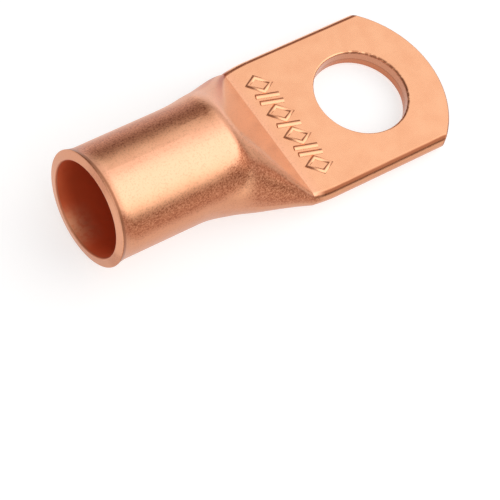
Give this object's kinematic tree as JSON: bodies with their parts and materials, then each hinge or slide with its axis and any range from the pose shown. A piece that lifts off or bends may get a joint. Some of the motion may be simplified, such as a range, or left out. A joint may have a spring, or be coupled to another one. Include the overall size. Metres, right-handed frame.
{
  "type": "battery ring terminal",
  "caption": "Bare copper tube terminal with a round bell-mouthed barrel, pressed flat into a palm with a stud hole and rounded tip.",
  "frame": {"origin": "centre of the stud hole, on the palm's flat underside", "axes": "+X from the hole to the rounded tip, with the barrel's mouth towards -X; +Z out of the pressed side, along the stud"},
  "size_m": [0.0459, 0.0186, 0.0131],
  "materials": {
    "copper": "bare drawn copper, satin and untinned"
  },
  "bodies": {
    "root": {"ring_terminal": "copper"}
  },
  "joints": []
}
